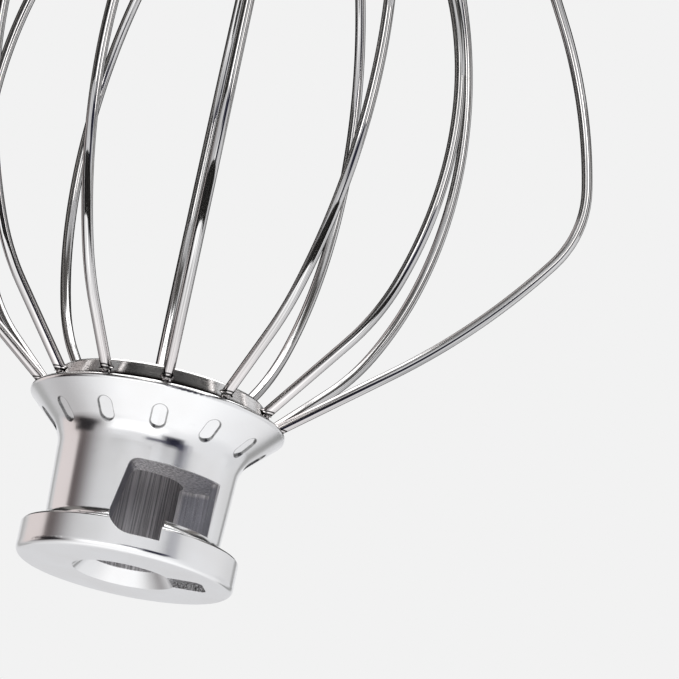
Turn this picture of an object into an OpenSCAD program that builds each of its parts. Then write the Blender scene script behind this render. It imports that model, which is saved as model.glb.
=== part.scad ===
// Wire whip attachment for a stand mixer.
// A turned hub drops over the mixer's drive shaft and locks with a bayonet window.
// Six round wire loops leave a ring around the hub's core plug: five balloon loops and
// one wide loop. The origin is the centre of the hub's flat drive face and +Z points
// to the tip of the whip. Azimuth is measured from -Y towards +X.

/* [Hub] */
// Radius of the drive flange
flange_r = 17.6; // [15:0.1:22]
// Height of the drive flange
flange_h = 5.3; // [3:0.1:8]
// Rounding of the flange's lower edge
flange_round = 1.1; // [0.3:0.1:2]
// Rounding of the flange's upper edge
flange_edge = 0.45; // [0.2:0.05:1]
// Fillet where the neck meets the flange
neck_fillet = 1.8; // [0.5:0.1:3]
// Neck radius at the flange
neck_r = 14.15; // [12:0.05:16]
// Neck radius under the skirt
neck_top_r = 14.6; // [12:0.05:16]
// Height where the neck starts to flare
flare_z = 18.3; // [16:0.1:22]
// Radius of the hollow between neck and skirt
flare_round = 5; // [2:0.1:8]
// Angle of the skirt from the axis
flare_angle = 46; // [35:1:55]
// Largest radius of the skirt's lip
lip_r = 20.75; // [19:0.05:23]
// Rounding radius of the skirt's lip
lip_round = 0.55; // [0.3:0.05:1]

/* [Drive socket] */
// Radius of the shaft bore
bore_r = 6.45; // [6:0.05:8]
// Height of the blind end of the bore
bore_top = 18.8; // [16:0.1:19.2]
// Radius of the lead-in at the drive face
mouth_r = 8.3; // [7:0.1:10]
// Depth of the lead-in
mouth_depth = 2.3; // [1:0.1:4]
// Azimuth of the pin's entry slot
slot_azimuth = 78; // [60:1:90]
// Width of the pin's entry slot
slot_w = 6.8; // [5:0.1:8]
// Reach of the entry slot from the axis
slot_reach = 13.2; // [10:0.1:13.4]
// Corner rounding at the end of the entry slot
slot_round = 1.4; // [0.5:0.1:2]
// Reach of the pin's track inside the neck
track_r = 12.8; // [10:0.1:13]
// Floor of the window where the pin turns
track_low = 7; // [5:0.1:9]
// Ceiling of the window
track_high = 15.7; // [12:0.1:17]
// Azimuth of the window's right side
track_end = 55.6; // [45:0.1:60]
// Azimuth along which the pin's seat is milled
seat_azimuth = -5; // [-10:1:0]
// Floor of the pin's seat
seat_low = 2.9; // [2.4:0.1:4]
// Left side of the seat, at its widest
seat_left = -3.2; // [-4:0.1:-2]
// Right side of the seat, at the locking shoulder
seat_right = 5.6; // [4:0.1:6]
// Slant of the seat's left side from the axis
seat_slant = 10.8; // [0:0.1:15]
// Ceiling of the seat, a hair above the window's
seat_high = 15.76; // [12:0.02:17]
// Rounding at the seat's lower left corner
seat_round = 4.2; // [2:0.1:5]
// Rounding at the seat's upper left corner
seat_top_round = 1.5; // [0.5:0.1:3]

/* [Staked dimples] */
// Width of a dimple
dimple_w = 2.5; // [1.5:0.1:3]
// Length of a dimple
dimple_len = 4.4; // [3:0.1:5]
// Depth of a dimple in the skirt
dimple_depth = 0.3; // [0.1:0.05:0.4]
// Centre of a dimple along the skirt, from the end of the hollow
dimple_shift = 0.8; // [0:0.1:2]

/* [Core plug] */
// Radius of the core plug
core_r = 16.95; // [15:0.05:18]
// Height of the core plug's outer face
core_top = 30.6; // [29:0.1:33]
// Chamfer of the core plug's outer edge
core_chamfer = 0.35; // [0.1:0.05:1]
// Floor of the hub's recess, which the core plug rests on
recess_z = 20.2; // [19.6:0.1:21]

/* [Wires] */
// Diameter of the wire
wire_d = 1.8; // [1.4:0.1:2.5]
// Number of wire ends around the ring
strands = 12; // [12:1:12]
// Radius of the ring where the wires leave the hub
ring_r = 19.05; // [18:0.05:20]
// Height where the slanted wire ends would meet the ring
ring_z = 27.3; // [27:0.1:28]
// Clearance of the wire ends between hub and core plug
wire_gap = 0.03; // [0.01:0.01:0.1]
// Length of a slanted wire end inside the hub
tail_len = 8; // [5:0.1:9]
// Height that a wire stands up at the ring before it turns outwards
stand = 0.85; // [0.5:0.05:2]
// Height of the balloon loops' crowns above the drive face, one for each loop
balloon_crowns = [137, 139, 141, 145, 143];
// Both halves of each balloon loop: [spread at the ring, first run, near radius, near turn, side radius]
balloon_halves = [
    [[45, 14.5, 35, 17, 66], [45, 14.5, 35, 17, 66]],
    [[44.5, 12.5, 35, 14.5, 72], [44, 16.5, 33, 19.5, 66]],
    [[43, 17, 33, 21, 64], [46, 14, 32, 17.5, 69]],
    [[45.5, 16.5, 43, 15, 71], [43, 15, 35, 17, 83]],
    [[45, 17, 45, 16, 67], [45, 11, 37, 15, 65.5]],
];
// Height of the wide loop's crown above the drive face
wide_crown = 147; // [145:1:155]

/* [Hidden] */
$fn = 64;
cut = 1;
wire_r = wire_d / 2;
step_azimuth = 360 / strands;
arc_steps = 12;

// The skirt's outer line starts where the hollow ends and runs to the lip.
flare_c = [neck_top_r + flare_round, flare_z];
flare_p = flare_c + flare_round * [-cos(flare_angle), sin(flare_angle)];
skirt_dir = [sin(flare_angle), cos(flare_angle)];
skirt_out = [cos(flare_angle), -sin(flare_angle)];
skirt_len = (lip_r - lip_round - flare_p[0] + lip_round * skirt_out[0]) / skirt_dir[0];
lip_p = flare_p + skirt_len * skirt_dir;
lip_c = lip_p - lip_round * skirt_out;
lip_z = lip_c[1] + lip_round;

// The wire ends lie at 45 degrees, with the hub's seat outside them and the core inside.
tail_slant = 45;
seat_offset = (wire_r + wire_gap) * sqrt(2);
function tail_r(z) = ring_r + z - ring_z;
function recess_r(z) = tail_r(z) + seat_offset;
function plug_r(z) = tail_r(z) - seat_offset;
plug_shoulder = core_r + seat_offset + ring_z - ring_r;

// A wire is a list of steps: [length, 0] runs straight, [radius, turn] bends and [0, turn]
// is a sharp corner. A negative turn leads back to the axis. A place is [radius, height, slant].
function bent(p, s) = let (h = p[2] + s[1], way = sign(s[1]))
    [p[0] + way * s[0] * (cos(p[2]) - cos(h)), p[1] + way * s[0] * (sin(h) - sin(p[2])), h];
function ran(p, s) = [p[0] + s[0] * sin(p[2]), p[1] + s[0] * cos(p[2]), p[2]];
function place(p, steps, i = 0) = i == len(steps) ? p
    : place(steps[i][1] == 0 ? ran(p, steps[i]) : bent(p, steps[i]), steps, i + 1);

// The crown: a straight rise, then one arc that reaches the axis at the crown's height.
function rise(p, crown) = (crown - p[1]) * cos(p[2]) / (1 + sin(p[2])) - p[0];
function crown_r(p, crown) = (p[0] + rise(p, crown) * sin(p[2])) / cos(p[2]);
function closed(steps, crown) = let (p = place(tail_start, steps))
    concat(steps, [[rise(p, crown), 0], [crown_r(p, crown), -90 - p[2]]]);

// A joint's ball is this much thicker than the wire, and the pieces stop this short of it.
joint_swell = 0.02;
joint_trim = 0.05;

// Each wire starts inside the hub, stands up at the ring and then turns sharply outwards.
tail_start = [ring_r - tail_len * sin(tail_slant), ring_z - tail_len * cos(tail_slant), tail_slant];
function root(spread) = [[tail_len, 0], [0, -tail_slant], [stand, 0], [0, spread]];

// The wide loop runs out straight, turns at its shoulder and closes slowly.
wide_spread = 49;
wide_steps = concat(root(wide_spread), [[36, 0], [60, -15], [25, -44], [92, -17]]);
// A balloon strand bends in near the hub, then follows one long side arc until it leans in.
lean_in = 28;
function balloon_steps(half) = concat(root(half[0]),
    [[half[1], 0], [half[2], -half[3]], [half[4], half[3] - half[0] - lean_in]]);

// Turns a shape drawn along +X to an azimuth.
module at_azimuth(azimuth) {
    rotate([0, 0, azimuth - 90]) children();
}

module flange_outline() {
    square([flange_r - flange_round, flange_h]);
    translate([0, flange_round]) square([flange_r, flange_h - flange_round - flange_edge]);
    translate([0, flange_round]) square([flange_r - flange_edge, flange_h - flange_round]);
    translate([flange_r - flange_round, flange_round]) circle(r = flange_round);
    translate([flange_r - flange_edge, flange_h - flange_edge]) circle(r = flange_edge);
}

module neck_outline() {
    polygon([[0, 0], [neck_r, 0], [neck_r, flange_h + neck_fillet], [neck_top_r, flare_z], [0, flare_z]]);
    difference() {
        translate([neck_r - cut, flange_h - cut]) square([neck_fillet + cut, neck_fillet + cut]);
        translate([neck_r + neck_fillet, flange_h + neck_fillet]) circle(r = neck_fillet);
    }
}

module skirt_outline() {
    difference() {
        polygon([[0, flare_z], [neck_top_r, flare_z], flare_c, flare_p, lip_p, lip_c,
                 [lip_c[0], lip_z], [0, lip_z]]);
        translate(flare_c) circle(r = flare_round);
    }
    translate(lip_c) circle(r = lip_round);
}

module bore_outline() {
    polygon([[0, -cut], [mouth_r, -cut], [mouth_r, 0], [bore_r, mouth_depth], [bore_r, bore_top], [0, bore_top]]);
}

module recess_outline() {
    polygon([[0, recess_z], [recess_r(recess_z), recess_z], [recess_r(lip_z + cut), lip_z + cut],
             [0, lip_z + cut]]);
}

module hub_blank() {
    rotate_extrude() difference() {
        union() {
            flange_outline();
            neck_outline();
            skirt_outline();
        }
        recess_outline();
        bore_outline();
    }
}

// The pin enters here, beside the bore.
module slot_outline() {
    at_azimuth(slot_azimuth) {
        translate([0, -slot_w / 2]) square([slot_reach - slot_round, slot_w]);
        translate([0, slot_round - slot_w / 2]) square([slot_reach, slot_w - 2 * slot_round]);
        for (side = [-1, 1])
            translate([slot_reach - slot_round, side * (slot_w / 2 - slot_round)]) circle(r = slot_round);
    }
}

// Inside the neck the pin turns from the slot to the window.
module track_outline() {
    intersection() {
        circle(r = track_r);
        at_azimuth(slot_azimuth)
            translate([0, -slot_reach]) square([slot_reach + cut, slot_reach + slot_w / 2]);
    }
}

module window_outline() {
    window_start = 15;
    reach = 1.5 * flange_r;
    polygon([[0, 0], for (azimuth = [window_start, track_end]) reach * [sin(azimuth), -cos(azimuth)]]);
}

module pin_way() {
    translate([0, 0, -cut]) linear_extrude(track_low + cut) slot_outline();
    translate([0, 0, track_low]) linear_extrude(track_high - track_low) {
        slot_outline();
        track_outline();
        window_outline();
    }
}

// The seat drops below the window, so the pin can't turn back under load.
function arc(c, r, from, to) = [for (i = [0 : arc_steps]) let (a = from + (to - from) * i / arc_steps)
    c + r * [cos(a), sin(a)]];

module seat_outline() {
    low_c = [seat_left + seat_round, seat_low + seat_round];
    top_z = seat_high - seat_top_round;
    top_c = [seat_left + (top_z - low_c[1]) * tan(seat_slant) + seat_top_round / cos(seat_slant), top_z];
    polygon(concat([[seat_right, seat_low], [seat_right, seat_high]],
                   arc(top_c, seat_top_round, 90, 180 - seat_slant),
                   arc(low_c, seat_round, 180, 270)));
}

module pin_seat() {
    at_azimuth(seat_azimuth) translate([cut, 0, 0]) rotate([90, 0, 90])
        linear_extrude(flange_r) seat_outline();
}

module dimple() {
    run = dimple_len - dimple_w;
    translate([flare_p[0], 0, flare_p[1]]) rotate([0, flare_angle, 0])
        translate([-dimple_depth, 0, dimple_shift]) rotate([0, 90, 0]) {
            for (end = [-1, 1]) translate([end * run / 2, 0, 0]) cylinder(d = dimple_w, h = 2);
            translate([-run / 2, -dimple_w / 2, 0]) cube([run, dimple_w, 2]);
        }
}

module hub() {
    color([0.82, 0.82, 0.84]) difference() {
        difference() {
            hub_blank();
            pin_way();
        }
        pin_seat();
        for (i = [0 : strands - 1]) at_azimuth(i * step_azimuth) dimple();
    }
}

module core_plug() {
    color([0.7, 0.7, 0.72]) rotate_extrude()
        polygon([[0, recess_z], [plug_r(recess_z), recess_z], [core_r, plug_shoulder],
                 [core_r, core_top - core_chamfer], [core_r - core_chamfer, core_top], [0, core_top]]);
}

// Draws the steps of a wire one after another, starting upwards with +X outwards. Each piece
// stops a little short of its ends, where a ball a hair thicker than the wire joins it on.
module wire(steps, i = 0) {
    if (i > 0 && steps[i - 1][0] > 0) sphere(r = wire_r + joint_swell);
    if (i < len(steps)) {
        size = steps[i][0];
        turn = steps[i][1];
        start = i == 0 ? 0 : joint_trim;
        if (size == 0) {
            rotate([0, turn, 0]) wire(steps, i + 1);
        } else if (turn == 0) {
            translate([0, 0, start]) cylinder(r = wire_r, h = size - start - joint_trim);
            translate([0, 0, size]) wire(steps, i + 1);
        } else {
            side = sign(turn);
            trim = joint_trim / size * 180 / PI;
            translate([side * size, 0, 0]) {
                mirror([side > 0 ? 1 : 0, 0, 0]) rotate([90, 0, 0]) rotate([0, 0, trim])
                    rotate_extrude(angle = abs(turn) - 2 * trim) translate([size, 0]) circle(r = wire_r);
                rotate([0, turn, 0]) translate([-side * size, 0, 0]) wire(steps, i + 1);
            }
        }
    }
}

// A loop's two halves stand opposite each other and meet at the crown.
module loop(azimuth, halves, crown) {
    color([0.75, 0.75, 0.77]) for (i = [0, 1]) at_azimuth(azimuth + 180 * i)
        translate([tail_start[0], 0, tail_start[1]]) rotate([0, tail_slant, 0])
            wire(closed(halves[i], crown));
}

module wide_wire() {
    loop(90, [wide_steps, wide_steps], wide_crown);
}

// Balloon loops 1 to 5 stand at azimuths 0, 30, 60, 120 and 150, clear of the wide loop at 90.
module balloon_wire(number) {
    azimuth = step_azimuth * (number <= 3 ? number - 1 : number);
    halves = [for (half = balloon_halves[number - 1]) balloon_steps(half)];
    loop(azimuth, halves, balloon_crowns[number - 1]);
}

hub();
core_plug();
wide_wire();
balloon_wire(1);  // balloon_wire_1
balloon_wire(2);  // balloon_wire_2
balloon_wire(3);  // balloon_wire_3
balloon_wire(4);  // balloon_wire_4
balloon_wire(5);  // balloon_wire_5
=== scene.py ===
import math

import bpy
from mathutils import Matrix, Vector


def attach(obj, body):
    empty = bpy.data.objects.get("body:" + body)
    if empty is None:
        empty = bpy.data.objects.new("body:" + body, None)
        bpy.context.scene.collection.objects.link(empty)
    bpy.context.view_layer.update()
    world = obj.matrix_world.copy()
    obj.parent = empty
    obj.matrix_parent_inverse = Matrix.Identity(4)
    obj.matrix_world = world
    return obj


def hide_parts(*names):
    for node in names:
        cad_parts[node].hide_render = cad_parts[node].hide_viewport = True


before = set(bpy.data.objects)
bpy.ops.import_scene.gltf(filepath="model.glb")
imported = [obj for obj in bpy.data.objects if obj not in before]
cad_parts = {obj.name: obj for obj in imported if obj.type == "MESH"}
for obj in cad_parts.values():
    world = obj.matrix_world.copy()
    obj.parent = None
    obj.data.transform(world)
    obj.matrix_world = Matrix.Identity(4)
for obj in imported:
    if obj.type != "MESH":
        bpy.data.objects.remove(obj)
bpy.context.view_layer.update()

MM = 0.001


# ---------------------------------------------------------------- node helpers
class Graph:
    """A node tree, with short calls for the nodes that the materials and the world use."""

    def __init__(self, tree):
        self.tree = tree
        tree.nodes.clear()

    def add(self, kind, **props):
        node = self.tree.nodes.new(kind)
        for key, value in props.items():
            setattr(node, key, value)
        return node

    def set(self, socket, value):
        if isinstance(value, bpy.types.NodeSocket):
            self.tree.links.new(value, socket)
        else:
            socket.default_value = value

    def math(self, operation, a, b=None):
        node = self.add("ShaderNodeMath", operation=operation)
        self.set(node.inputs[0], a)
        if b is not None:
            self.set(node.inputs[1], b)
        return node.outputs[0]

    def plus(self, a, b):
        return self.math("ADD", a, b)

    def minus(self, a, b):
        return self.math("SUBTRACT", a, b)

    def larger(self, a, b):
        return self.math("MAXIMUM", a, b)

    def times(self, first, *others):
        for other in others:
            first = self.math("MULTIPLY", first, other)
        return first

    def length(self, a, b):
        """Length of the vector (a, b)."""
        return self.math("SQRT", self.plus(self.times(a, a), self.times(b, b)))

    def dot(self, a, b):
        node = self.add("ShaderNodeVectorMath", operation="DOT_PRODUCT")
        self.set(node.inputs[0], a)
        self.set(node.inputs[1], b)
        return node.outputs["Value"]

    def vector(self, x, y, z):
        node = self.add("ShaderNodeCombineXYZ")
        for socket, value in zip(node.inputs, (x, y, z)):
            self.set(socket, value)
        return node.outputs[0]

    def split(self, vector):
        node = self.add("ShaderNodeSeparateXYZ")
        self.set(node.inputs[0], vector)
        return node.outputs

    def ramp(self, value, low, high, out_low=0.0, out_high=1.0):
        """Maps value from low..high to out_low..out_high, held at both ends."""
        node = self.add("ShaderNodeMapRange", interpolation_type="SMOOTHSTEP")
        for index, number in enumerate((value, low, high, out_low, out_high)):
            self.set(node.inputs[index], number)
        return node.outputs[0]

    def inside(self, value, low, high, soft=0.03):
        """1 where value lies between low and high, 0 elsewhere."""
        return self.times(self.ramp(value, low - soft, low + soft),
                          self.ramp(value, high - soft, high + soft, 1, 0))

    def mix(self, factor, a, b):
        node = self.add("ShaderNodeMix", data_type="RGBA")
        self.set(node.inputs[0], factor)
        self.set(node.inputs[6], a)
        self.set(node.inputs[7], b)
        return node.outputs[2]

    def blend(self, factor, a, b):
        node = self.add("ShaderNodeMix", data_type="FLOAT")
        self.set(node.inputs[0], factor)
        self.set(node.inputs[2], a)
        self.set(node.inputs[3], b)
        return node.outputs[0]

    def noise(self, vector, scale, detail, rough=0.5):
        node = self.add("ShaderNodeTexNoise")
        self.set(node.inputs["Vector"], vector)
        self.set(node.inputs["Scale"], scale)
        self.set(node.inputs["Detail"], detail)
        self.set(node.inputs["Roughness"], rough)
        return node.outputs["Fac"]

    def streaks(self, place, scales, detail, rough=0.5):
        """Noise over three coordinates, each with a scale of its own."""
        return self.noise(self.vector(*map(self.times, place, scales)), 1, detail, rough)

    def bump(self, height, strength, distance, normal=None):
        node = self.add("ShaderNodeBump")
        self.set(node.inputs["Strength"], strength)
        self.set(node.inputs["Distance"], distance)
        self.set(node.inputs["Height"], height)
        if normal is not None:
            self.set(node.inputs["Normal"], normal)
        return node.outputs[0]

    def soft_edge(self, radius):
        node = self.add("ShaderNodeBevel", samples=6)
        self.set(node.inputs["Radius"], radius)
        return node.outputs[0]

    def polar(self):
        """Object coordinates as radius, azimuth and height, all in millimetres but the azimuth."""
        x, y, z = self.split(self.add("ShaderNodeTexCoord").outputs["Object"])
        return self.times(self.length(x, y), 1 / MM), self.math("ARCTAN2", x, y), self.times(z, 1 / MM)


def grey(tone, warm=0.0):
    """A grey, made warmer or, below 0, cooler."""
    return (tone * (1 + warm), tone, tone * (1 - warm), 1)


def material(name, metallic=0.0):
    """A new material: itself, its graph, its shader and its output."""
    mat = bpy.data.materials.new(name)
    mat.use_nodes = True
    g = Graph(mat.node_tree)
    shader, output = g.add("ShaderNodeBsdfPrincipled"), g.add("ShaderNodeOutputMaterial")
    shader.inputs["Metallic"].default_value = metallic
    g.set(output.inputs["Surface"], shader.outputs[0])
    return mat, g, shader, output


# ---------------------------------------------------------------- materials
# The hub's places, in millimetres: where each kind of surface begins and ends.
FLANGE_R, NECK_R, SOCKET_TOP = 17.6, 14.1, 18.95
MOUTH_R, MOUTH_TOP, SLOT_R = 8.35, 2.35, 14
TRACK_LOW, TRACK_HIGH = 1.3, 4.75
SEAT_R, SEAT_TOP = 7.0, 15.2
SKIRT_R, SKIRT_Z, SKIRT_SLANT = 16.127, 21.897, math.radians(46)
DIMPLE_W, DIMPLE_LEN, DIMPLE_SHIFT = 2.5, 4.4, 0.8
DIMPLES_LOW, DIMPLES_HIGH = SKIRT_Z - 1.5, 25.8
DIMPLE_STEP = math.pi / 6


def dimple_lines(g, r, angle, z, scuffs):
    """1 on the walls of the staked dimples and along their outlines, where the hub gets painted shade.
    """
    from_r, from_z = g.minus(r, SKIRT_R), g.minus(z, SKIRT_Z)
    across_skirt, up_skirt = math.sin(SKIRT_SLANT), math.cos(SKIRT_SLANT)
    deep = g.minus(g.times(from_z, across_skirt), g.times(from_r, up_skirt))
    along = g.plus(g.times(from_r, across_skirt), g.times(from_z, up_skirt))
    off_centre = g.math("ABSOLUTE", g.minus(along, DIMPLE_SHIFT))
    past_run = g.larger(g.minus(off_centre, (DIMPLE_LEN - DIMPLE_W) / 2), 0)
    turns = g.times(g.plus(angle, math.pi), 1 / DIMPLE_STEP)
    sideways = g.times(g.minus(turns, g.math("ROUND", turns)), DIMPLE_STEP, r)
    outline = g.inside(g.length(past_run, sideways), DIMPLE_W / 2 - 0.16, DIMPLE_W / 2 + 0.1, 0.09)
    broken = g.ramp(scuffs, 0.3, 0.55, 0.35, 0.8)
    band = g.inside(z, DIMPLES_LOW, DIMPLES_HIGH)
    return g.larger(g.times(g.inside(deep, 0.035, 0.25, 0.015), band), g.times(outline, band, broken))


def hub_metal():
    mat, g, shader, _ = material("hub_polished_aluminium", 1.0)
    r, angle, z = place = g.polar()
    # Cut surfaces of the drive socket: all that lies inside the neck or inside the flange.
    in_neck = g.times(g.inside(r, -1, NECK_R - 0.06), g.inside(z, MOUTH_TOP, SOCKET_TOP))
    in_flange = g.times(g.inside(r, MOUTH_R, FLANGE_R - 0.15), g.inside(z, TRACK_LOW, TRACK_HIGH))
    in_slot = g.times(g.inside(r, MOUTH_R, SLOT_R), g.inside(z, 0.06, TRACK_LOW + 0.05))
    cut = g.larger(g.larger(in_neck, in_flange), in_slot)
    # Turned lines run round the hub, broken up so that no ring is even.
    rings = g.streaks(place, (9, 0.6, 9), 3)
    haze = g.streaks(place, (0.12, 1.3, 0.12), 4)
    scuffs = g.streaks(place, (1.4, 9, 1.1), 5, 0.7)
    wear = g.ramp(scuffs, 0.62, 0.74)
    # The socket was milled: upright cutter marks on its walls and a grainy surface.
    marks = g.streaks(place, (1.6, 26, 0.07), 4, 0.6)
    grain = g.streaks(place, (6, 60, 5), 3, 0.7)
    polished = g.mix(g.ramp(haze, 0.3, 0.75), grey(0.94, -0.006), grey(0.9, 0.004))
    polished = g.mix(g.times(wear, 0.35), polished, grey(0.8))
    # Painted shade darkens the walls and outlines of the staked dimples.
    dimple_shade = g.times(dimple_lines(g, r, angle, z, scuffs), 0.85)
    polished = g.mix(dimple_shade, polished, grey(0.15))
    # Painted light and shade: the bore's wall is a lighter, lit copy of the milled surface, the pin seat
    # round it a darker, shaded copy.
    lit_bore_wall = g.mix(g.ramp(marks, 0.35, 0.65), (0.43, 0.42, 0.43, 1), (0.95, 0.93, 0.94, 1))
    shaded_seat_wall = g.mix(g.ramp(marks, 0.3, 0.7), (0.3, 0.3, 0.33, 1), (0.49, 0.49, 0.54, 1))
    seat = g.times(g.ramp(r, SEAT_R - 0.3, SEAT_R + 0.3), g.inside(z, MOUTH_TOP + 0.05, SEAT_TOP, 0.3))
    milled = g.mix(seat, lit_bore_wall, shaded_seat_wall)
    milled = g.mix(g.times(g.ramp(grain, 0.55, 0.7), 0.6), milled, grey(0.82))
    # Bright burrs and black pits line the mouth of the pin slot.
    slot_rim = g.inside(z, 0.03, TRACK_LOW, 0.15)
    milled = g.mix(g.times(slot_rim, g.ramp(grain, 0.5, 0.44)), milled, grey(0.12))
    milled = g.mix(g.times(slot_rim, g.ramp(grain, 0.52, 0.56)), milled, grey(0.97))
    g.set(shader.inputs["Base Color"], g.mix(cut, polished, milled))
    smooth = g.plus(g.ramp(haze, 0.25, 0.8, 0.13, 0.21), g.times(wear, 0.05))
    g.set(shader.inputs["Roughness"], g.blend(cut, smooth, g.ramp(grain, 0.3, 0.7, 0.34, 0.5)))
    lines = g.bump(rings, 0.14, 0.02 * MM, g.soft_edge(0.08 * MM))
    height = g.times(g.plus(marks, g.times(grain, 0.6)), cut)
    g.set(shader.inputs["Normal"], g.bump(height, 0.8, 0.12 * MM, lines))
    return mat


def core_metal():
    mat, g, shader, _ = material("core_turned_aluminium", 1.0)
    _, _, z = place = g.polar()
    lines = g.streaks(place, (7, 0.8, 7), 4, 0.7)
    haze = g.streaks(place, (0.2, 2, 0.3), 4)
    specks = g.streaks(place, (3, 40, 4), 3)
    tone = g.mix(g.ramp(haze, 0.3, 0.7), grey(0.74, 0.006), grey(0.84, 0.012))
    tone = g.mix(g.times(g.ramp(lines, 0.45, 0.6), 0.25), tone, grey(0.6, 0.02))
    tone = g.mix(g.times(g.ramp(specks, 0.68, 0.76), 0.5), tone, grey(0.5))
    # Painted shade: the plug darkens towards the crevice between it and the hub's rim.
    g.set(shader.inputs["Base Color"], g.mix(g.ramp(z, 28.2, 28.75, 1, 0), tone, grey(0.04, 0.1)))
    g.set(shader.inputs["Roughness"], g.ramp(lines, 0.3, 0.7, 0.15, 0.24))
    g.set(shader.inputs["Normal"], g.bump(lines, 0.25, 0.04 * MM, g.soft_edge(0.15 * MM)))
    return mat


def wire_metal():
    """Polished wire. The tube's U runs round it, and V along it in centimetres."""
    mat, g, shader, _ = material("wire_polished_steel", 1.0)
    around, along, _ = g.split(g.add("ShaderNodeTexCoord").outputs["UV"])
    _, _, z = g.polar()
    turn = g.times(around, 2 * math.pi)
    place = g.math("COSINE", turn), g.math("SINE", turn), along
    drawn = g.streaks(place, (7, 7, 0.5), 3)
    waves = g.streaks(place, (1, 1, 1.1), 2)
    # Painted reflection: the wire's colour warms towards its root, where it reflects its neighbours and
    # the plug.
    root = g.ramp(z, 27, 44, 1, 0)
    tone = g.mix(g.ramp(drawn, 0.38, 0.62), grey(0.46, 0.004), grey(0.86, 0.006))
    tone = g.mix(g.times(root, 0.4), tone, (0.9, 0.83, 0.82, 1))
    # Painted shade lies on both sides of the creased collar and fills the gap at the rim.
    collar = g.larger(g.inside(z, COLLAR_Z - 0.34, COLLAR_Z - 0.06, 0.05),
                      g.inside(z, COLLAR_Z + 0.12, COLLAR_Z + 0.32, 0.05))
    crease_shade = g.times(g.larger(collar, g.ramp(z, 27.45, 27.65, 1, 0)), 0.96)
    g.set(shader.inputs["Base Color"], g.mix(crease_shade, tone, grey(0.02, 0.05)))
    shader.inputs["Specular Tint"].default_value = (0.02, 0.02, 0.02, 1)
    g.set(shader.inputs["Roughness"], g.ramp(drawn, 0.3, 0.75, 0.05, 0.11))
    fine = g.bump(drawn, 0.04, 0.03 * MM)
    g.set(shader.inputs["Normal"], g.bump(waves, 0.1, 0.1 * MM, fine))
    return mat


def stage_paint(name, scale, low, high):
    """Matt paint for the floor and the cards, mottled between two tones."""
    mat, g, shader, output = material(name)
    cloud = g.noise(g.add("ShaderNodeTexCoord").outputs["Object"], scale, 2)
    g.set(shader.inputs["Base Color"], g.mix(cloud, low, high))
    shader.inputs["Roughness"].default_value = 0.9
    return mat, g, shader, output


def floor_paint():
    """Paint that is clear from underneath, so that a view from below sees the object."""
    mat, g, shader, output = stage_paint("floor_paint", 3, grey(0.9), grey(0.92))
    surface = g.add("ShaderNodeMixShader")
    g.set(surface.inputs[0], g.add("ShaderNodeNewGeometry").outputs["Backfacing"])
    g.set(surface.inputs[1], shader.outputs[0])
    g.set(surface.inputs[2], g.add("ShaderNodeBsdfTransparent").outputs[0])
    g.set(output.inputs["Surface"], surface.outputs[0])
    return mat


def card_paint(tone, glow=0.0):
    mat, _, shader, _ = stage_paint("card_paint", 20, grey(tone, 0.06), grey(tone * 1.8, 0.06))
    shader.inputs["Emission Color"].default_value = (1, 1, 1, 1)
    shader.inputs["Emission Strength"].default_value = glow
    return mat


# ---------------------------------------------------------------- wires
# All in millimetres and degrees, as in the CAD model.
WIRE_R = 0.9
RING_R, RING_Z, TAIL, TAIL_SLANT = 19.05, 27.3, 8.0, 45
NECK_WIRE_R, COLLAR_R, COLLAR_Z = 0.72, 1.2, 28.25
ROOT_BEND, ROOT_STAND = 1.0, 0.86
END_SLANT = -28
SPACING = 1.5


class Line:
    """A strand's line in its own plane, as (radius, height) points, drawn by runs and bends."""

    def __init__(self):
        self.heading = math.radians(TAIL_SLANT)
        self.p = Vector((RING_R - TAIL * math.sin(self.heading), RING_Z - TAIL * math.cos(self.heading)))
        self.points = [self.p.copy()]

    def step(self, length, turn, parts):
        for _ in range(parts):
            middle = self.heading + turn / parts / 2
            chord = length / parts
            self.p = self.p + chord * Vector((math.sin(middle), math.cos(middle)))
            self.heading += turn / parts
            self.points.append(self.p.copy())

    def run(self, length, spacing=SPACING):
        if length > 1e-6:
            self.step(length, 0.0, max(1, math.ceil(length / spacing)))

    def bend(self, radius, degrees):
        turn = math.radians(degrees)
        length = radius * abs(turn)
        self.step(length, turn, max(3, math.ceil(length / SPACING), math.ceil(abs(degrees) / 5)))

    def close(self, crown):
        """Rises straight, then turns on one arc to the axis at the crown's height."""
        h = self.heading
        rise = (crown - self.p[1]) * math.cos(h) / (1 + math.sin(h)) - self.p[0]
        self.run(max(rise, 0))
        self.bend(self.p[0] / math.cos(h), -90 - math.degrees(h))


def strand(spread, crown, steps):
    """A strand's points: its tail in the hub, its root bends, its steps and its crown."""
    line = Line()
    cut_in = ROOT_BEND * math.tan(math.radians(TAIL_SLANT / 2))
    cut_out = ROOT_BEND * math.tan(math.radians(spread / 2))
    line.run(TAIL - cut_in, 1.0)
    line.bend(ROOT_BEND, -TAIL_SLANT)
    line.run(ROOT_STAND - cut_in - cut_out, 0.1)
    line.bend(ROOT_BEND, spread)
    for length, turn in steps:
        if turn:
            line.bend(length, turn)
        else:
            line.run(length)
    line.close(crown)
    return line.points


def balloon(crown, spread, run, near_r, near_turn, side_r):
    side_turn = END_SLANT - spread + near_turn
    return strand(spread, crown, [(run, 0), (near_r, -near_turn), (side_r, side_turn)])


def wide(crown):
    return strand(51, crown, [(20.3, 0), (120, -15.9), (18.6, -44.5), (93.5, -17.9)])


def placed(points, azimuth, drift, crown):
    """A strand's points in space. Halfway up, it leans drift degrees round the axis."""
    a = math.radians(azimuth)
    out, side = Vector((math.sin(a), -math.cos(a), 0)), Vector((math.cos(a), math.sin(a), 0))
    reach = max(p[0] for p in points)
    made = []
    for r, z in points:
        lift = min(max((z - RING_Z) / (crown - RING_Z), 0), 1)
        lean = reach * math.sin(math.radians(drift)) * math.sin(math.pi * lift)
        made.append(out * r + side * lean + Vector((0, 0, z)))
    return made


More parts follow.
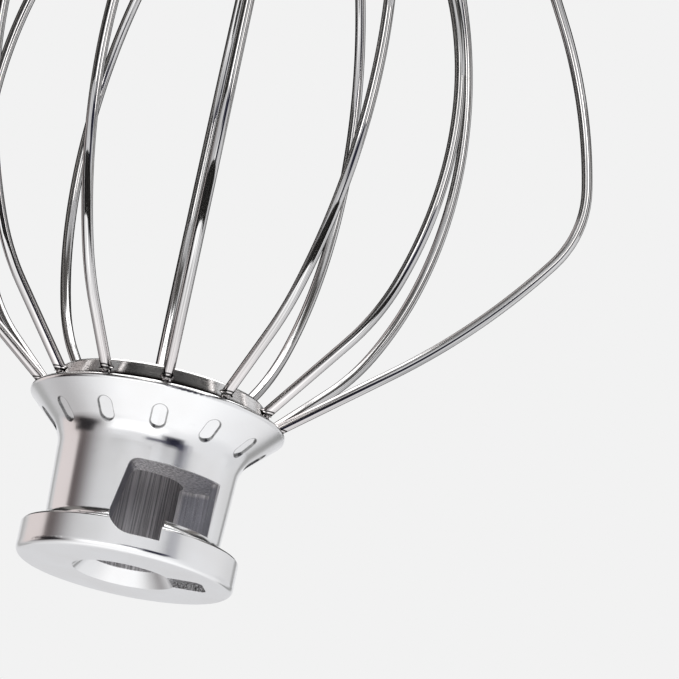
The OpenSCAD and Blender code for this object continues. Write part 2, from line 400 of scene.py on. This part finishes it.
def loop_points(azimuth, crown, halves):
    """Both halves of a loop, each (points, shift round the ring, drift), joined at the crown."""
    first, second = (placed(points, azimuth + half_turn + shift, drift, crown)
                     for half_turn, (points, shift, drift) in zip((0, 180), halves))
    return first + second[-2::-1]


def wire_radius(z):
    """The wire is pinched between the rim and a narrow creased collar at its bend."""
    neck = min(max((z - 26.6) / 0.5, 0), 1) * min(max((COLLAR_Z - z) / 0.22, 0), 1)
    collar = math.exp(-((z - COLLAR_Z) / 0.13) ** 2)
    return WIRE_R + (NECK_WIRE_R - WIRE_R) * neck + (COLLAR_R - WIRE_R) * collar


SIDES = 20
ROOT_LOW, ROOT_HIGH, ROOT_SPACING = 26.2, COLLAR_Z + 1.2, 0.09


def refined(points):
    """The points, with more of them where the wire's radius changes."""
    fine = []
    for a, b in zip(points, points[1:]):
        near_root = min(a.z, b.z) < ROOT_HIGH and max(a.z, b.z) > ROOT_LOW
        parts = max(1, math.ceil((b - a).length / ROOT_SPACING)) if near_root else 1
        fine += [a.lerp(b, i / parts) for i in range(parts)]
    return fine + [points[-1]]


def tube(name, points, mat):
    """A closed tube along the points, in millimetres, with U round it and V along it."""
    fine = refined(points)
    tangents = [(fine[min(i + 1, len(fine) - 1)] - fine[max(i - 1, 0)]).normalized()
                for i in range(len(fine))]
    normal = tangents[0].orthogonal().normalized()
    rows, verts, along = [], [], 0.0
    for i, (p, t) in enumerate(zip(fine, tangents)):
        normal = (normal - t * normal.dot(t)).normalized()
        across = t.cross(normal)
        if i:
            along += (p - fine[i - 1]).length
        rows.append(along)
        radius = wire_radius(p.z)
        for k in range(SIDES):
            angle = 2 * math.pi * k / SIDES
            verts.append((p + (normal * math.cos(angle) + across * math.sin(angle)) * radius) * MM)
    faces, uvs = [], []
    for i in range(len(fine) - 1):
        for k in range(SIDES):
            n = (k + 1) % SIDES
            faces.append((i * SIDES + k, i * SIDES + n, (i + 1) * SIDES + n, (i + 1) * SIDES + k))
            uvs += [(k / SIDES, rows[i] / 10), ((k + 1) / SIDES, rows[i] / 10),
                    ((k + 1) / SIDES, rows[i + 1] / 10), (k / SIDES, rows[i + 1] / 10)]
    last = (len(fine) - 1) * SIDES
    faces += [tuple(range(SIDES - 1, -1, -1)), tuple(range(last, last + SIDES))]
    uvs += [(0.5, 0)] * SIDES + [(0.5, rows[-1] / 10)] * SIDES
    mesh = bpy.data.meshes.new(name)
    mesh.from_pydata(verts, [], faces)
    mesh.polygons.foreach_set("use_smooth", [len(p.vertices) == 4 for p in mesh.polygons])
    layer = mesh.uv_layers.new(name="wire")
    for loop, uv in zip(layer.data, uvs):
        loop.uv = uv
    mesh.materials.append(mat)
    piece = bpy.data.objects.new(name, mesh)
    bpy.context.collection.objects.link(piece)
    return piece


steel = wire_metal()
# For each balloon loop: azimuth, crown, and each half's spread, first run, bend near the ring
# (radius and turn), side radius, turn from its even place round the ring, and drift.
BALLOONS = [
    (0, 137, (45, 14.5, 35, 17, 66, 0, -0.5), (45, 14.5, 35, 17, 66, 2, -1)),
    (30, 139, (44.5, 12.5, 35, 14.5, 72, 0, 0), (44, 16.5, 33, 19.5, 66, 0, 0)),
    (60, 141, (43, 17, 33, 21, 64, 0, 0), (46, 14, 32, 17.5, 69, 0, 0)),
    (120, 145, (45.5, 16.5, 43, 15, 71, 0, 0), (43, 15, 35, 17, 83, 0, 0)),
    (150, 143, (45, 17, 45, 16, 67, 0, 0), (45, 11, 37, 15, 65.5, 0, 0)),
]
WIDE_AZIMUTH, WIDE_CROWN = 90, 147
for i, (azimuth, crown, *halves) in enumerate(BALLOONS, 1):
    shaped = [(balloon(crown, *shape), shift, drift) for *shape, shift, drift in halves]
    piece = tube(f"balloon_loop_{i}", loop_points(azimuth, crown, shaped), steel)
    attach(piece, "root")
    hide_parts(f"balloon_wire_{i}")
wide_halves = [(wide(WIDE_CROWN), 0, 0)] * 2
piece = tube("wide_loop", loop_points(WIDE_AZIMUTH, WIDE_CROWN, wide_halves), steel)
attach(piece, "root")
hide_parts("wide_wire")

# ---------------------------------------------------------------- carried-over CAD nodes
for node, mat in (("hub", hub_metal()), ("core_plug", core_metal())):
    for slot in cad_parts[node].material_slots:
        slot.material = mat


# ---------------------------------------------------------------- studio
def direction(azimuth, elevation):
    """Unit vector of an azimuth, from -Y towards +X, and an elevation."""
    a, e = math.radians(azimuth), math.radians(elevation)
    return Vector((math.sin(a) * math.cos(e), -math.cos(a) * math.cos(e), math.sin(e)))


# Soft boxes and flags round the object, in degrees: azimuth, elevation, half width, half height,
# softness; and tone. A later one lies over an earlier one.
PANELS = [
    (0, 88, 60, 60, 25, (0.7, 0.7, 0.71)),          # ceiling box
    (-90, 76, 50, 4, 4, (0.05, 0.05, 0.05)),        # gaps between the ceiling's tubes
    (90, 80, 50, 3, 3, (0.05, 0.05, 0.05)),
    (0, -88, 40, 40, 45, (1.08, 1.08, 1.09)),       # white table below
    (-28, -38, 32, 17, 18, (1.4, 1.4, 1.41)),       # its lit front
    (180, -14, 70, 14, 12, (0.7, 0.7, 0.715)),      # pale back, low
    (-88, 58, 22, 14, 6, (0.06, 0.055, 0.055)),     # dark gaps between ceiling and side boxes
    (88, 53, 26, 9, 4, (0.06, 0.06, 0.06)),
    (180, 55, 40, 9, 4, (0.08, 0.08, 0.08)),
    (0, 50, 40, 7, 4, (0.1, 0.095, 0.09)),
    (-137, 40, 28, 11, 5, (0.04, 0.04, 0.04)),      # dark corners behind
    (137, 40, 28, 11, 5, (0.04, 0.04, 0.04)),
    (-106, -26, 11, 6, 4, (0.02, 0.02, 0.02)),      # foot of the left side box
    (-100, 5, 32, 55, 56, (0.12, 0.1, 0.1)),        # left flag, fading to the front
    (-121, 24, 18, 42, 6, (0.74, 0.67, 0.66)),      # warm side box behind it
    (-95, -18, 15, 15, 8, (0.015, 0.013, 0.015)),   # foot of the left flag
    (44, 12, 6, 26, 8, (0.46, 0.46, 0.49)),         # narrow grey stand
    (150, 10, 5, 40, 5, (0.3, 0.3, 0.3)),           # right back flag
    (-152, 10, 5, 40, 5, (0.4, 0.4, 0.4)),          # left back flag
    (26, -10, 13, 16, 8, (0.01, 0.01, 0.025)),      # camera, its stand and its arm
    (37, 0, 5, 10, 6, (0.04, 0.04, 0.07)),
    (5, -4, 14, 5, 6, (0.05, 0.05, 0.08)),
]
BASE_TONE = (0.8, 0.8, 0.815, 1)
BACKDROP = (0.888, 0.888, 0.888, 1)

world = bpy.data.worlds.new("studio")
bpy.context.scene.world = world
world.use_nodes = True
g = Graph(world.node_tree)
facing = g.add("ShaderNodeTexCoord").outputs["Generated"]
tone = BASE_TONE
for azimuth, elevation, half_w, half_h, soft, colour in PANELS:
    centre = direction(azimuth, elevation)
    across = Vector((0, 0, 1)).cross(centre).normalized()
    upright = centre.cross(across)
    mask = g.ramp(g.dot(facing, centre), 0.0, 0.05)
    for axis, half in ((across, half_w), (upright, half_h)):
        offset = g.math("ABSOLUTE", g.dot(facing, axis))
        low, high = (math.sin(math.radians(min(max(half + way * soft / 2, 0.5), 89)))
                     for way in (-1, 1))
        mask = g.times(mask, g.ramp(offset, low, high, 1, 0))
    tone = g.mix(mask, tone, (*colour, 1))
# The camera itself sees an even backdrop.
light_path = g.add("ShaderNodeLightPath")
background = g.add("ShaderNodeBackground")
g.set(background.inputs["Color"], g.mix(light_path.outputs["Is Camera Ray"], tone, BACKDROP))
background.inputs["Strength"].default_value = 1.0
g.set(g.add("ShaderNodeOutputWorld").inputs["Surface"], background.outputs[0])


def flat_mesh(name, verts, faces, mat):
    mesh = bpy.data.meshes.new(name)
    mesh.from_pydata(verts, [], faces)
    mesh.materials.append(mat)
    made = bpy.data.objects.new(name, mesh)
    bpy.context.collection.objects.link(made)
    return made


def card(azimuth_from, azimuth_to, radius, low, high, mat):
    """A curved card that stands round the object, seen only in reflections."""
    span = azimuth_to - azimuth_from
    parts = max(2, math.ceil(span / 4))
    rim = [direction(azimuth_from + span * i / parts, 0) * radius for i in range(parts + 1)]
    verts = [p + Vector((0, 0, z)) for p in rim for z in (low, high)]
    faces = [(2 * i, 2 * i + 2, 2 * i + 3, 2 * i + 1) for i in range(parts)]
    made = flat_mesh("card", verts, faces, mat)
    made.visible_camera = made.visible_diffuse = made.visible_shadow = False


black, dusk, bright = card_paint(0.015), card_paint(0.16), card_paint(0.9, 1.6)
# A near card that the core plug reflects, and the neck doesn't.
card(-46, 43, 0.065, 0.0295, 0.05, black)
# The cage's surround: cards that start above what the hub and the core plug reflect.
SURROUND_R, SURROUND_LOW, SURROUND_HIGH = 0.2, 0.078, 0.19
for azimuth_from, azimuth_to, mat in ((-166, -112, black), (-112, -78, dusk), (-78, -34, black),
                                      (-22, -9, bright), (-5, 5, black), (30, 41, bright),
                                      (46, 57, black), (74, 96, dusk), (132, 166, black)):
    card(azimuth_from, azimuth_to, SURROUND_R, SURROUND_LOW, SURROUND_HIGH, mat)

FLOOR_Z, FLOOR_HALF = -0.2, 6.0
corners = [(x * FLOOR_HALF, y * FLOOR_HALF, FLOOR_Z) for x, y in ((-1, -1), (1, -1), (1, 1), (-1, 1))]
floor = flat_mesh("floor", corners, [(0, 1, 2, 3)], floor_paint())
floor.visible_glossy = False

top = bpy.data.lights.new("top_softbox", "AREA")
top.size, top.energy = 1.6, 16.0
top_light = bpy.data.objects.new("top_softbox", top)
top_light.location = (0.1, 0.1, 1.4)
bpy.context.collection.objects.link(top_light)

# ---------------------------------------------------------------- camera
CAMERA_AT = Vector((-0.00873, -0.67192, -0.13934))
CAMERA_AHEAD = Vector((0.04995, 0.96301, 0.26478))
CAMERA_UP = Vector((-0.21470, -0.24856, 0.94452))

camera_data = bpy.data.cameras.new("camera")
camera_data.lens, camera_data.sensor_width = 229.0, 36.0
camera_data.clip_start, camera_data.clip_end = 0.01, 50.0
camera = bpy.data.objects.new("camera", camera_data)
bpy.context.collection.objects.link(camera)
ahead = CAMERA_AHEAD.normalized()
up = (CAMERA_UP - ahead * CAMERA_UP.dot(ahead)).normalized()
turned = Matrix((ahead.cross(up), up, -ahead)).transposed().to_4x4()
camera.matrix_world = Matrix.Translation(CAMERA_AT) @ turned
bpy.context.scene.camera = camera
bpy.context.scene.view_settings.view_transform = "Standard"
